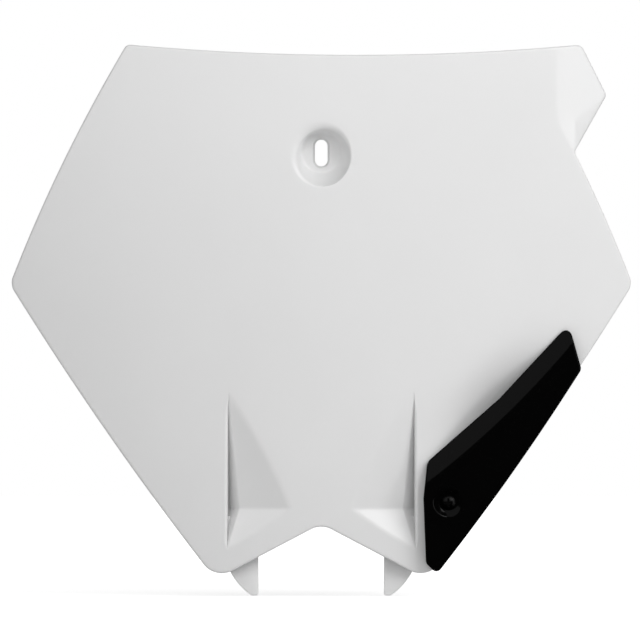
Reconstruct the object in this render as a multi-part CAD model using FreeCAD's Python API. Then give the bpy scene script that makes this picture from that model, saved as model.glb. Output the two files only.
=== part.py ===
import FreeCAD, Part
import math
import os
from FreeCAD import Placement, Rotation, Vector

# A front number board for an off-road motorcycle.
# Millimetres. X is to the right as seen from the front, Z is up and the front faces -Y.
# The origin is the centre of the top slot, on the seat face at the back of the dished boss.

# Panel outline, as half widths and heights from the slot
TOP_CORNER_HALF_WIDTH = 97.4
TOP_CORNER_HEIGHT = 54.4
TOP_CORNER_RADIUS = 3.0
TOP_EDGE_DIP = 5.5
TIP_HALF_WIDTH = 156.2
TIP_HEIGHT = -65.7
TIP_RADIUS = 6.0
LOBE_HALF_WIDTH = 53.0
LOBE_HEIGHT = -213.7
LOBE_RADIUS = 10.5
NOTCH_HEIGHT = -185.7
NOTCH_RADIUS = 10.0
UPPER_SIDE_BOW = 2.8
LOWER_SIDE_BOW = 2.4

# Ear at the upper right
SIDE_NOTCH_HEIGHT = 0.5
SIDE_NOTCH_RADIUS = 2.5
EAR_TIP_X = 143.2
EAR_TIP_HEIGHT = 29.2
EAR_TIP_RADIUS = 3.0
EAR_CORNER_X = 130.4
EAR_CORNER_RADIUS = 4.0
EAR_CREASE_X = 117.9
EAR_CREASE_TURN_HEIGHT = 23.0
EAR_FOLD_X = 127.4
EAR_FIRST_BEND = 15.0
EAR_SECOND_BEND = 15.0
EAR_LOWER_BEND = 11.0

# Moulding
WALL = 2.8
ACROSS_RADIUS_TOP = 590.0
ACROSS_RADIUS_BOTTOM = 390.0
UPRIGHT_RADIUS = 1000.0
FOREMOST_HEIGHT = -30.0

# Dished boss with the slot that hangs the board on its screw
SEAT_WALL = 3.0
DISH_DEPTH = 11.0
DISH_FLOOR_RADIUS = 10.2
DISH_MOUTH_RADIUS = 13.3
DISH_LEAN_X = 0.9
DISH_LEAN_HEIGHT = -2.3
DISH_LIP_ROUND = 3.0
DISH_FLOOR_ROUND = 2.0
SLOT_WIDTH = 6.4
SLOT_HEIGHT = 13.4
DISH_FRONT = -(SEAT_WALL + DISH_DEPTH)

# Faceted pockets above the bottom lobes, as half widths and heights. Each is a broad hollow that
# ends at a ridge, with a deep cleft between the ridge and the pocket's upright lip.
POCKET_APEX_X = 46.6
POCKET_APEX_HEIGHT = -120.5
POCKET_FOOT_X = 47.3
POCKET_FOOT_HEIGHT = -198.5
POCKET_INNER_X = 15.4
POCKET_LEVEL = -178.0
POCKET_RIDGE_X = 41.0
POCKET_RIDGE_DEPTH = 7.5
POCKET_CLEFT_DEPTH = 15.5
POCKET_LIP_DRAFT = 0.5
POCKET_HOLLOW_ROUND = 1.2
POCKET_CLEFT_ROUND = 0.6

# Prongs behind the lower edge
PRONG_INNER_X = 31.5
PRONG_OUTER_X = 47.0
PRONG_SHOULDER_HEIGHT = -207.0
PRONG_TIP_HEIGHT = -221.8
PRONG_TIP_WIDTH = 3.4
PRONG_SIDE_BOW = 1.4
PRONG_ROOT_HEIGHT = -182.0
PRONG_SETBACK = 6.5
PRONG_THICKNESS = 3.6
PRONG_ROUND = 1.2

# Channel that lets a hose pass between the panel and its guard. Its centre, the guard's corners
# and the screw are placed by the panel's lower right edge: first the way along that edge from
# the corner at the lobe, then the way inwards from it.
CHANNEL_CENTRE = (90.0, 22.5)
CHANNEL_DEPTH = 11.5
CHANNEL_HALF_LENGTH = 55.0
CHANNEL_LEAD_IN = 28.0
CHANNEL_FULL_DEPTH_AT = 10.0

# Hose guard outline
GUARD_TOP = (145.7, 15.0)
GUARD_TOP_RADIUS = 3.6
GUARD_BEND = (95.0, 22.3)
GUARD_SHOULDER = (48.5, 33.8)
GUARD_SHOULDER_RADIUS = 5.0
GUARD_WAIST = (32.3, 24.8)
GUARD_HEEL = (6.5, 5.2)
GUARD_HEEL_RADIUS = 3.0
GUARD_TOE = (5.2, -2.4)
GUARD_TOE_RADIUS = 1.2
GUARD_CORNER = (130.7, -3.2)
GUARD_CORNER_RADIUS = 3.0
GUARD_OUTER_BOW = 1.6
GUARD_RISE = 7.0
GUARD_WALL = 2.4
GUARD_BEVEL_WIDTH = 8.6
GUARD_BEVEL_RIM = 1.6
GUARD_SEAT_GAP = 0.15
GUARD_SIDE_GAP = 0.2
GUARD_SKIRT_PAST_PANEL = 0.5

# Screw that holds the guard
SCREW_PLACE = (37.8, 13.4)
SCREW_SHANK_RADIUS = 2.0
SCREW_HOLE_GAP = 0.15
SCREW_HEAD_RADIUS = 3.7
SCREW_HEAD_HEIGHT = 2.0
SCREW_SEAT_GAP = 0.05
SCREW_DISH_RADIUS = 6.6
SCREW_DISH_FLOOR_RADIUS = 4.4
SCREW_DISH_DEPTH = 2.6
SCREW_SEAT = SCREW_DISH_DEPTH - GUARD_RISE
SCREW_POST_RADIUS = 8.0
SCREW_BOSS_RADIUS = 4.6
SCREW_BOSS_LENGTH = 9.0
SCREW_END_LENGTH = 1.5
SCREW_HEAD_SIDE = 0.7
SCREW_HEAD_SHOULDER_RADIUS = 2.2
SCREW_HEAD_SHOULDER_HEIGHT = 1.7
CROSS_SPAN = 4.4
CROSS_WIDTH = 1.0
CROSS_DEPTH = 1.1

# Reach of the construction solids and the slack in finding an edge
FAR_FRONT = -60.0
FAR_BACK = 60.0
SHEET_MARGIN = 14.0
SHEET_STEPS = 34
BLOCK = 400.0
EDGE_SLACK = 0.5


def across_radius(z):
    """Radius of the panel across its width, which tightens towards the bottom."""
    share = (z - LOBE_HEIGHT) / (TOP_CORNER_HEIGHT - LOBE_HEIGHT)
    return ACROSS_RADIUS_BOTTOM + share * (ACROSS_RADIUS_TOP - ACROSS_RADIUS_BOTTOM)


def crown(x, z):
    """How far the undished panel lies behind its foremost point."""
    radius = across_radius(z)
    across = radius - math.sqrt(radius**2 - x**2)
    rise = z - FOREMOST_HEIGHT
    upright = UPRIGHT_RADIUS - math.sqrt(UPRIGHT_RADIUS**2 - rise**2)
    return across + upright


def smooth_step(t):
    """Rises from 0 to 1 with no crease at either end."""
    t = min(max(t, 0.0), 1.0)
    return t**3 * (10 - 15 * t + 6 * t**2)


def unit(dx, dz):
    """Unit vector in the XZ plane."""
    length = math.hypot(dx, dz)
    return dx / length, dz / length


def beside_edge(along, inwards):
    """X and Z of a place given by the panel's lower right edge."""
    run = unit(TIP_HALF_WIDTH - LOBE_HALF_WIDTH, TIP_HEIGHT - LOBE_HEIGHT)
    x = LOBE_HALF_WIDTH + along * run[0] - inwards * run[1]
    z = LOBE_HEIGHT + along * run[1] + inwards * run[0]
    return x, z


def channel_dip(x, z):
    """Depth of the hose channel, which runs out under the guard's outer edge."""
    top = beside_edge(*GUARD_TOP)
    shoulder = beside_edge(*GUARD_SHOULDER)
    centre = beside_edge(*CHANNEL_CENTRE)
    along = unit(shoulder[0] - top[0], shoulder[1] - top[1])
    inwards = (-along[1], along[0])
    dx = x - centre[0]
    dz = z - centre[1]
    run = (dx * along[0] + dz * along[1]) / CHANNEL_HALF_LENGTH
    reach = dx * inwards[0] + dz * inwards[1]
    if abs(run) >= 1:
        return 0.0
    across = smooth_step((reach + CHANNEL_LEAD_IN) / (CHANNEL_FULL_DEPTH_AT + CHANNEL_LEAD_IN))
    return CHANNEL_DEPTH * (1 - run**2) ** 3 * across


def front_y(x, z, channel=False):
    """Y of the panel's front face."""
    y = DISH_FRONT + crown(x, z) - crown(0, 0)
    if channel:
        y += channel_dip(x, z)
    return y


def on_front(x, z):
    """Point of the panel's front face, leaving the channel aside."""
    return Vector(x, front_y(x, z), z)


def panel_sheet(channel):
    """The panel's front face as one smooth surface, larger than the outline."""
    x_reach = TIP_HALF_WIDTH + SHEET_MARGIN
    z_low = PRONG_TIP_HEIGHT - SHEET_MARGIN
    z_high = TOP_CORNER_HEIGHT + SHEET_MARGIN
    rows = []
    for i in range(SHEET_STEPS + 1):
        x = x_reach * (2 * i / SHEET_STEPS - 1)
        row = []
        for j in range(SHEET_STEPS + 1):
            z = z_low + (z_high - z_low) * j / SHEET_STEPS
            row.append(Vector(x, front_y(x, z, channel), z))
        rows.append(row)
    surface = Part.BSplineSurface()
    surface.interpolate(rows)
    return surface.toShape()


def solid_behind(sheet, depth):
    """Everything from a sheet moved back by depth to far behind the board."""
    moved = sheet.copy()
    moved.translate(Vector(0, depth, 0))
    return moved.extrude(Vector(0, FAR_BACK + depth, 0))


def half_space(point, normal, offset):
    """Block behind a plane, with the plane moved back by offset along its normal."""
    block = Part.makeBox(2 * BLOCK, 2 * BLOCK, BLOCK, Vector(-BLOCK, -BLOCK, 0))
    block.Placement = Placement(point - normal * offset, Rotation(Vector(0, 0, 1), normal * -1))
    return block


def bow_edge(start, end, bow):
    """Straight edge, or an arc that stands out to the right of the way it runs."""
    p = Vector(start[0], 0, start[1])
    q = Vector(end[0], 0, end[1])
    if bow == 0:
        return Part.makeLine(p, q)
    middle = (p + q) * 0.5
    side = Vector(q.z - p.z, 0, p.x - q.x).normalize()
    return Part.Arc(p, middle + side * bow, q).toShape()


def outline_wire(corners):
    """Closed wire through corners of the form (point, corner radius, bow of the edge that follows)."""
    edges = []
    for corner, following in zip(corners, corners[1:] + corners[:1]):
        edges.append(bow_edge(corner[0], following[0], corner[2]))
    return Part.Wire(edges)


def wire_prism(wire, y_front, y_back):
    """The area inside a wire carried along Y."""
    face = Part.Face(wire)
    face.translate(Vector(0, y_front, 0))
    return face.extrude(Vector(0, y_back - y_front, 0))


def outline_prism(corners, y_front, y_back):
    """The outline carried along Y, with its corners rounded."""
    prism = wire_prism(outline_wire(corners), y_front, y_back)
    for corner in corners:
        if corner[1]:
            prism = prism.makeFillet(corner[1], [upright_edge(prism, corner[0])])
    return prism


def rounded_wire(corners):
    """The closed wire through the corners, with those that have a radius rounded."""
    prism = outline_prism(corners, FAR_FRONT, FAR_BACK)
    foremost = min(prism.Faces, key=lambda face: face.CenterOfMass.y)
    wire = foremost.OuterWire.copy()
    wire.translate(Vector(0, -FAR_FRONT, 0))
    return wire


def upright_edge(solid, point):
    """The edge of a prism that runs along Y at a corner of its outline."""
    for edge in solid.Edges:
        p, q = edge.Vertexes[0].Point, edge.Vertexes[-1].Point
        along_y = abs(p.x - q.x) + abs(p.z - q.z) < 1e-6
        if along_y and math.hypot(p.x - point[0], p.z - point[1]) < 1e-4:
            return edge
    raise ValueError("no edge at this corner")


def common_of(solids):
    """What all the solids share."""
    shape = solids[0]
    for other in solids[1:]:
        shape = shape.common(other)
    return shape


def bent_plane(p, q, normal, degrees):
    """Plane that holds the line from p to q and leans from normal by an angle about it."""
    turned = Rotation(q - p, degrees).multVec(normal)
    return p, turned.normalize()


def plane_y(plane, x, z):
    """Y of a plane at a place."""
    point, normal = plane
    return point.y - (normal.x * (x - point.x) + normal.z * (z - point.z)) / normal.y


def ear_planes():
    """The four flat facets of the ear, in two pairs that meet in a shallow valley.

    The outer pair comes first, because cutting it first holds over a wider range of sizes.
    """
    top = on_front(EAR_CREASE_X, TOP_CORNER_HEIGHT)
    turn = on_front(EAR_CREASE_X, EAR_CREASE_TURN_HEIGHT)
    notch = on_front(side_x(SIDE_NOTCH_HEIGHT), SIDE_NOTCH_HEIGHT)
    beside = on_front(EAR_CREASE_X - EAR_CORNER_RADIUS, EAR_CREASE_TURN_HEIGHT)
    facing = (turn - top).cross(beside - turn).normalize()
    if facing.y > 0:
        facing = facing * -1
    upper = bent_plane(turn, top, facing, EAR_FIRST_BEND)
    lower = bent_plane(notch, turn, facing, EAR_FIRST_BEND)
    fold_height = valley_height(upper, lower, EAR_FOLD_X)
    fold = Vector(EAR_FOLD_X, plane_y(upper, EAR_FOLD_X, fold_height), fold_height)
    tip = Vector(EAR_TIP_X, plane_y(upper, EAR_TIP_X, EAR_TIP_HEIGHT), EAR_TIP_HEIGHT)
    outer = bent_plane(notch, fold, lower[1], EAR_SECOND_BEND)
    under = bent_plane(fold, tip, upper[1], EAR_LOWER_BEND)
    return [(outer, under), (upper, lower)]


def valley_height(first, second, x):
    """Height at which two planes meet at a given x."""
    low = SIDE_NOTCH_HEIGHT
    high = TOP_CORNER_HEIGHT
    gap_low = plane_y(first, x, low) - plane_y(second, x, low)
    gap_high = plane_y(first, x, high) - plane_y(second, x, high)
    return low + (high - low) * gap_low / (gap_low - gap_high)


def side_x(z):
    """Half width of the bowed upper side at a height."""
    p = Vector(TOP_CORNER_HALF_WIDTH, 0, TOP_CORNER_HEIGHT)
    q = Vector(TIP_HALF_WIDTH, 0, TIP_HEIGHT)
    share = (TOP_CORNER_HEIGHT - z) / (TOP_CORNER_HEIGHT - TIP_HEIGHT)
    chord = p + (q - p) * share
    bow = UPPER_SIDE_BOW * (1 - (2 * share - 1) ** 2)
    return chord.x + bow * (q - p).Length / (p.z - q.z)


def panel_body(sheet, depth):
    """The panel and its ear as a body that starts at a depth behind the front face."""
    body = solid_behind(sheet, depth)
    below_ear = half_space(Vector(0, 0, SIDE_NOTCH_HEIGHT), Vector(0, 0, 1), 0)
    for first, second in ear_planes():
        faceted = half_space(*first, depth).multiFuse([half_space(*second, depth), below_ear])
        body = body.common(faceted)
    return body


def facet_form(facets, inside, offset):
    """The space between facets, seen from a point inside, with the facets moved outwards by offset."""
    blocks = []
    for p, q, r in facets:
        normal = (q - p).cross(r - p).normalize()
        if normal.dot(inside - p) > 0:
            normal = normal * -1
        blocks.append(half_space(p, normal, -offset))
    return common_of(blocks)


def pocket_form(side, offset):
    """The hollow and the cleft of one pocket as two spaces grown outwards by offset, and the ridge."""
    apex = on_front(side * POCKET_APEX_X, POCKET_APEX_HEIGHT)
    foot = on_front(side * POCKET_FOOT_X, POCKET_FOOT_HEIGHT)
    inner = on_front(side * POCKET_INNER_X, POCKET_LEVEL)
    ridge = on_front(side * POCKET_RIDGE_X, POCKET_LEVEL) + Vector(0, POCKET_RIDGE_DEPTH, 0)
    lip_x = (POCKET_APEX_X + POCKET_FOOT_X) / 2
    cleft = on_front(side * (lip_x - POCKET_LIP_DRAFT), POCKET_LEVEL) + Vector(0, POCKET_CLEFT_DEPTH, 0)
    wall = (apex, foot, cleft)
    broad = [(apex, ridge, inner), (foot, ridge, inner), wall]
    steep = [(apex, ridge, cleft), (foot, ridge, cleft), wall]
    steep += [(end, cleft, end + Vector(1, 0, 0)) for end in (apex, foot)]
    hollow = facet_form(broad, (apex + foot + inner + ridge) * 0.25, offset)
    trench = facet_form(steep, (apex + foot + cleft + ridge) * 0.25, offset)
    return hollow, trench, ridge


def pocket_void(side):
    """The open space of one pocket, with the valleys of its hollow and its cleft rounded."""
    hollow, trench, ridge = pocket_form(side, 0)
    rounded = []
    for form, radius in ((hollow, POCKET_HOLLOW_ROUND), (trench, POCKET_CLEFT_ROUND)):
        valley = [e for e in form.Edges if e.distToShape(Part.Vertex(ridge))[0] < EDGE_SLACK]
        rounded.append(form.makeFillet(radius, valley))
    return rounded[0].fuse(rounded[1])


def dish_ring(share, grow, y):
    """Circle round the dish, at a share of the way from its floor to its mouth."""
    radius = DISH_FLOOR_RADIUS + share * (DISH_MOUTH_RADIUS - DISH_FLOOR_RADIUS) + grow
    centre = Vector(share * DISH_LEAN_X, y, share * DISH_LEAN_HEIGHT)
    return Part.Wire(Part.makeCircle(radius, centre, Vector(0, 1, 0)))


def dish_form(offset):
    """The dished boss grown outwards by offset: a cone that leans as it widens, with a rounded floor."""
    floor_y = offset - SEAT_WALL
    floor_ring = dish_ring(0, offset, floor_y)
    far_ring = dish_ring(1 - FAR_FRONT / DISH_DEPTH, offset, DISH_FRONT + FAR_FRONT)
    form = Part.makeLoft([floor_ring, far_ring], True, True)
    floor_edges = [e for e in form.Edges if e.Closed and abs(e.BoundBox.YMin - floor_y) < EDGE_SLACK]
    return form.makeFillet(DISH_FLOOR_ROUND, floor_edges)


def round_dish_lip(plate):
    """The plate with the dish's mouth rolled over into the panel."""
    lip = []
    for edge in plate.Edges:
        box = edge.BoundBox
        half_width = (box.XMax - box.XMin) / 2
        if abs(half_width - DISH_MOUTH_RADIUS) < EDGE_SLACK and abs(box.YMax - DISH_FRONT) < EDGE_SLACK:
            lip.append(edge)
    return plate.makeFillet(DISH_LIP_ROUND, lip)


def slot_cut():
    """The upright slot with round ends, right through the boss."""
    half = (SLOT_HEIGHT - SLOT_WIDTH) / 2
    radius = SLOT_WIDTH / 2
    start = DISH_FRONT
    length = SEAT_WALL - DISH_FRONT
    box = Part.makeBox(SLOT_WIDTH, length, 2 * half, Vector(-radius, start, -half))
    ends = []
    for z in (-half, half):
        ends.append(Part.makeCylinder(radius, length, Vector(0, start, z), Vector(0, 1, 0)))
    return box.multiFuse(ends)


def panel_corners():
    """The board's outline, clockwise from the top left corner as seen from the front."""
    ear_top = (EAR_CORNER_X, TOP_CORNER_HEIGHT)
    notch = (side_x(SIDE_NOTCH_HEIGHT), SIDE_NOTCH_HEIGHT)
    share = (SIDE_NOTCH_HEIGHT - TIP_HEIGHT) / (TOP_CORNER_HEIGHT - TIP_HEIGHT)
    return [
        ((-TOP_CORNER_HALF_WIDTH, TOP_CORNER_HEIGHT), TOP_CORNER_RADIUS, TOP_EDGE_DIP),
        (ear_top, EAR_CORNER_RADIUS, 0),
        ((EAR_TIP_X, EAR_TIP_HEIGHT), EAR_TIP_RADIUS, 0),
        (notch, SIDE_NOTCH_RADIUS, -UPPER_SIDE_BOW * share**2),
        ((TIP_HALF_WIDTH, TIP_HEIGHT), TIP_RADIUS, -LOWER_SIDE_BOW),
        ((LOBE_HALF_WIDTH, LOBE_HEIGHT), LOBE_RADIUS, 0),
        ((0, NOTCH_HEIGHT), NOTCH_RADIUS, 0),
        ((-LOBE_HALF_WIDTH, LOBE_HEIGHT), LOBE_RADIUS, -LOWER_SIDE_BOW),
        ((-TIP_HALF_WIDTH, TIP_HEIGHT), TIP_RADIUS, -UPPER_SIDE_BOW),
    ]


def prong(side):
    """One prong: a flat tongue with an upright inner side and a bowed outer side."""
    tip_x = PRONG_INNER_X + PRONG_TIP_WIDTH
    corners = [
        ((side * PRONG_INNER_X, PRONG_ROOT_HEIGHT), 0, 0),
        ((side * PRONG_OUTER_X, PRONG_ROOT_HEIGHT), 0, 0),
        ((side * PRONG_OUTER_X, PRONG_SHOULDER_HEIGHT), 0, -side * PRONG_SIDE_BOW),
        ((side * tip_x, PRONG_TIP_HEIGHT), PRONG_ROUND, 0),
        ((side * PRONG_INNER_X, PRONG_TIP_HEIGHT), PRONG_ROUND, 0),
    ]
    start = front_y(PRONG_INNER_X, LOBE_HEIGHT) + PRONG_SETBACK
    return outline_prism(corners, start, start + PRONG_THICKNESS)


def screw_point(behind):
    """Point on the screw's axis, so far behind the panel's front face."""
    x, z = beside_edge(*SCREW_PLACE)
    return Vector(x, front_y(x, z) + behind, z)


def screw_round(radius, start, end):
    """Cylinder on the screw's axis, between two distances behind the panel's front face."""
    return Part.makeCylinder(radius, end - start, screw_point(start), Vector(0, 1, 0))


def number_plate(sheet):
    """The white moulding."""
    front = panel_body(sheet, 0)
    back = panel_body(sheet, WALL)
    for side in (-1, 1):
        hollow, trench, ridge = pocket_form(side, WALL)
        front = front.cut(pocket_void(side))
        back = back.cut(hollow.fuse(trench))
    front = front.cut(dish_form(0))
    back = back.cut(dish_form(SEAT_WALL))
    prism = outline_prism(panel_corners(), FAR_FRONT, FAR_BACK)
    plate = round_dish_lip(front.cut(back).common(prism))
    for side in (-1, 1):
        plate = plate.fuse(prong(side).cut(pocket_void(side)))
    boss = screw_round(SCREW_BOSS_RADIUS, WALL / 2, WALL + SCREW_BOSS_LENGTH)
    hole = screw_round(SCREW_SHANK_RADIUS + SCREW_HOLE_GAP, -WALL, FAR_BACK)
    return plate.fuse(boss).cut(slot_cut()).cut(hole)


def guard_corners():
    """The guard's outline, from its top corner against the clock as seen from the front."""
    corners = [
        (GUARD_TOP, GUARD_TOP_RADIUS, 0),
        (GUARD_BEND, 0, 0),
        (GUARD_SHOULDER, GUARD_SHOULDER_RADIUS, 0),
        (GUARD_WAIST, 0, 0),
        (GUARD_HEEL, GUARD_HEEL_RADIUS, 0),
        (GUARD_TOE, GUARD_TOE_RADIUS, GUARD_OUTER_BOW),
        (GUARD_CORNER, GUARD_CORNER_RADIUS, 0),
    ]
    return [(beside_edge(*place), radius, bow) for place, radius, bow in corners]


def guard_bevel(start_place, end_place):
    """Plane of the bevel along one edge, from a low rim up to the guard's face."""
    start = beside_edge(*start_place)
    end = beside_edge(*end_place)
    p = on_front(*start) - Vector(0, GUARD_BEVEL_RIM, 0)
    q = on_front(*end) - Vector(0, GUARD_BEVEL_RIM, 0)
    run = unit(end[0] - start[0], end[1] - start[1])
    inwards = (-run[1], run[0])
    x = (start[0] + end[0]) / 2 + GUARD_BEVEL_WIDTH * inwards[0]
    z = (start[1] + end[1]) / 2 + GUARD_BEVEL_WIDTH * inwards[1]
    crest = on_front(x, z) - Vector(0, GUARD_RISE, 0)
    normal = (q - p).cross(crest - p).normalize()
    if normal.y > 0:
        normal = normal * -1
    return p, normal


def guard_body(sheet, depth):
    """The guard's outer form, moved back by depth."""
    body = solid_behind(sheet, depth - GUARD_RISE)
    first = guard_bevel(GUARD_TOP, GUARD_BEND)
    second = guard_bevel(GUARD_BEND, GUARD_SHOULDER)
    return body.common(half_space(*first, depth).fuse(half_space(*second, depth)))


def hose_guard(sheet):
    """The black cover: a shallow shell that stands on the panel round its edge."""
    corners = guard_corners()
    prism = outline_prism(corners, FAR_FRONT, FAR_BACK)
    inner_wire = outline_wire(corners).makeOffset2D(-GUARD_WALL)
    inner_prism = wire_prism(inner_wire, FAR_FRONT, FAR_BACK)
    cavity = guard_body(sheet, GUARD_WALL).common(inner_prism)
    cavity = cavity.cut(screw_round(SCREW_POST_RADIUS, -GUARD_RISE, FAR_BACK))
    board_wire = rounded_wire(panel_corners()).makeOffset2D(GUARD_SIDE_GAP)
    board_prism = wire_prism(board_wire, FAR_FRONT, FAR_BACK)
    over_board = solid_behind(sheet, -GUARD_SEAT_GAP).common(board_prism)
    past_skirt = solid_behind(sheet, WALL + GUARD_SKIRT_PAST_PANEL)
    guard = guard_body(sheet, 0).common(prism).cut(cavity).cut(over_board).cut(past_skirt)
    hole = screw_round(SCREW_SHANK_RADIUS + SCREW_HOLE_GAP, -GUARD_RISE, FAR_BACK)
    return guard.cut(screw_dish()).cut(hole)


def screw_dish():
    """Shallow dish round the screw's head."""
    flare = (SCREW_DISH_RADIUS - SCREW_DISH_FLOOR_RADIUS) / SCREW_DISH_DEPTH
    top_radius = SCREW_DISH_FLOOR_RADIUS + flare * 2 * SCREW_DISH_DEPTH
    height = 2 * SCREW_DISH_DEPTH
    floor = screw_point(SCREW_SEAT)
    return Part.makeCone(SCREW_DISH_FLOOR_RADIUS, top_radius, height, floor, Vector(0, -1, 0))


def guard_screw():
    """Round-headed screw with a cross recess."""
    under_head = SCREW_SEAT - SCREW_SEAT_GAP
    end = WALL + SCREW_BOSS_LENGTH + SCREW_END_LENGTH
    rim = Vector(SCREW_HEAD_RADIUS, -SCREW_HEAD_SIDE, 0)
    shoulder = Vector(SCREW_HEAD_SHOULDER_RADIUS, -SCREW_HEAD_SHOULDER_HEIGHT, 0)
    crown_point = Vector(0, -SCREW_HEAD_HEIGHT, 0)
    edges = [
        Part.makeLine(Vector(0, 0, 0), Vector(SCREW_HEAD_RADIUS, 0, 0)),
        Part.makeLine(Vector(SCREW_HEAD_RADIUS, 0, 0), rim),
        Part.Arc(rim, shoulder, crown_point).toShape(),
        Part.makeLine(crown_point, Vector(0, 0, 0)),
    ]
    head = Part.Face(Part.Wire(edges)).revolve(Vector(0, 0, 0), Vector(0, 1, 0), 360)
    head.translate(screw_point(under_head))
    screw = head.fuse(screw_round(SCREW_SHANK_RADIUS, under_head - SCREW_HEAD_HEIGHT / 2, end))
    for width, height in ((CROSS_SPAN, CROSS_WIDTH), (CROSS_WIDTH, CROSS_SPAN)):
        corner = screw_point(under_head - 2 * SCREW_HEAD_HEIGHT) - Vector(width / 2, 0, height / 2)
        depth = SCREW_HEAD_HEIGHT + CROSS_DEPTH
        screw = screw.cut(Part.makeBox(width, depth, height, corner))
    return screw


def main():
    os.makedirs("parts", exist_ok=True)
    base_sheet = panel_sheet(False)
    pieces = {
        "number_plate": number_plate(panel_sheet(True)),
        "hose_guard": hose_guard(base_sheet),
        "guard_screw": guard_screw(),
    }
    for name, shape in pieces.items():
        solid = shape.Solids[0]
        print(name, "solids", len(shape.Solids), "valid", shape.isValid(), "volume", round(shape.Volume))
        solid.exportStep("parts/" + name + ".step")


main()
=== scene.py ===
import math

import bmesh
import bpy
from mathutils import Matrix, Vector


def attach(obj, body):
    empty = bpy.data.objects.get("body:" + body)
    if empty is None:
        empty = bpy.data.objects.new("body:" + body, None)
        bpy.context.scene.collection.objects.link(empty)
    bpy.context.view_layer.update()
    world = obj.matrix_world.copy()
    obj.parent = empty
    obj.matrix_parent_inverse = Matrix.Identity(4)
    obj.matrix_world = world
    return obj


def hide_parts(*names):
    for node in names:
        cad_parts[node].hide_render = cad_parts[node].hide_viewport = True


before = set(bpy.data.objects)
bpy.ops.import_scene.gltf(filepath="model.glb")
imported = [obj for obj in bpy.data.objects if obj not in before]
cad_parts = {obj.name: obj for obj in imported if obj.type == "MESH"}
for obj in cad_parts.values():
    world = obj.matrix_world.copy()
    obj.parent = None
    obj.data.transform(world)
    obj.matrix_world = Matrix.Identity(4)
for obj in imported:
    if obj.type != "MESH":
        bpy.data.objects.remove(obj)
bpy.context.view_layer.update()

# The looks of a front number board for an off-road motorcycle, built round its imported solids.
# Sizes below are in millimetres and become metres when a mesh is finished.
# X is to the right as seen from the front, Z is up and the front faces -Y.

MM = 0.001

# Panel outline, as half widths and heights from the slot
TOP_CORNER = (97.4, 54.4)
TOP_CORNER_RADIUS = 3.0
TOP_EDGE_DIP = 5.5
TIP = (156.2, -65.7)
TIP_RADIUS = 6.0
LOBE = (53.0, -213.7)
LOBE_RADIUS = 10.5
NOTCH_HEIGHT = -185.7
NOTCH_RADIUS = 10.0
UPPER_SIDE_BOW = 2.8
LOWER_SIDE_BOW = 2.4

# Ear at the upper right
SIDE_NOTCH_HEIGHT = 0.5
SIDE_NOTCH_RADIUS = 2.5
EAR_TIP = (143.2, 29.2)
EAR_TIP_RADIUS = 3.0
EAR_CORNER_X = 130.4
EAR_CORNER_RADIUS = 4.0
EAR_CREASE_X = 117.9
EAR_CREASE_TURN_HEIGHT = 23.0
EAR_FOLD_X = 127.4
EAR_FIRST_BEND = 15.0
EAR_SECOND_BEND = 15.0
EAR_LOWER_BEND = 11.0
EAR_SOFTNESS = 0.35

# Moulding
WALL = 2.8
RIM_ROUND = 0.9
RIM_BAND = 1.6
ACROSS_RADIUS_TOP = 590.0
ACROSS_RADIUS_BOTTOM = 390.0
UPRIGHT_RADIUS = 1000.0
FOREMOST_HEIGHT = -30.0

# Dished boss with the slot. The dish leans, so its lip and its throat have centres of their own.
SEAT_WALL = 3.0
DISH_DEPTH = 11.0
DISH_FLOOR_RADIUS = 10.2
DISH_MOUTH_RADIUS = 13.3
DISH_LEAN = (0.9, -2.3)
DISH_APRON = 1.0
DISH_LIP_CENTRE = (-0.3, -0.6)
DISH_LIP_REACH = (15.7, 16.9)
DISH_THROAT_CENTRE = (1.0, -2.3)
DISH_THROAT_REACH = (12.9, 13.9)
DISH_LIP_DROP = 2.6
DISH_FLOOR_ROUND = 2.0
DISH_SQUARE = 20.0
BOSS_SQUARE = 22.5
BOSS_ROOT_RINGS = ((1.2, 0.0), (0.3, 0.25), (0.0, 1.0))  # (growth, rise)
SLOT_CENTRE = (0.0, 0.0)
SLOT_WIDTH = 6.4
SLOT_HEIGHT = 13.4
SLOT_FLAT = 1.6
SLOT_LIP = 1.1
SLOT_LIP_DEPTH = 2.4
SLOT_LIP_WAIST = (0.3, 0.5)  # (growth, share of the lip's depth)
SLOT_BACK_FLAT = 1.2
SLOT_BACK_LIP = 0.5
FACET_ALLOWANCE = 0.03
DISH_FRONT = FACET_ALLOWANCE - SEAT_WALL - DISH_DEPTH

# Faceted pockets above the bottom lobes, as half widths and heights. Each is a broad hollow that
# ends at a ridge, with a deep cleft between the ridge and the pocket's upright lip.
POCKET_APEX = (46.6, -120.5)
POCKET_FOOT = (47.3, -198.5)
POCKET_INNER = (15.4, -178.0)
POCKET_RIDGE = (41.0, -178.0)
POCKET_RIDGE_DEPTH = 7.5
POCKET_CLEFT_DEPTH = 15.5
POCKET_LIP_DRAFT = 0.5
POCKET_LIP_ROUND = 1.5
POCKET_LIP_SLACK = 0.04
POCKET_LIP_SCORES = (0.15, 0.4, 1.0)  # shares of the lip's round
POCKET_VALLEY_SOFTNESS = 0.5
POCKET_RIDGE_SOFTNESS = 0.35
POCKET_EDGE_SOFTNESS = 0.6

# Prongs behind the lower edge
PRONG_INNER_X = 31.5
PRONG_OUTER_X = 47.0
PRONG_SHOULDER_HEIGHT = -207.0
PRONG_TIP_HEIGHT = -221.8
PRONG_TIP_WIDTH = 3.4
PRONG_SIDE_BOW = 1.4
PRONG_ROOT_HEIGHT = -182.0
PRONG_SETBACK = 6.5
PRONG_THICKNESS = 3.6
PRONG_ROUND = 1.2
PRONG_EDGE_ROUND = 0.5

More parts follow.
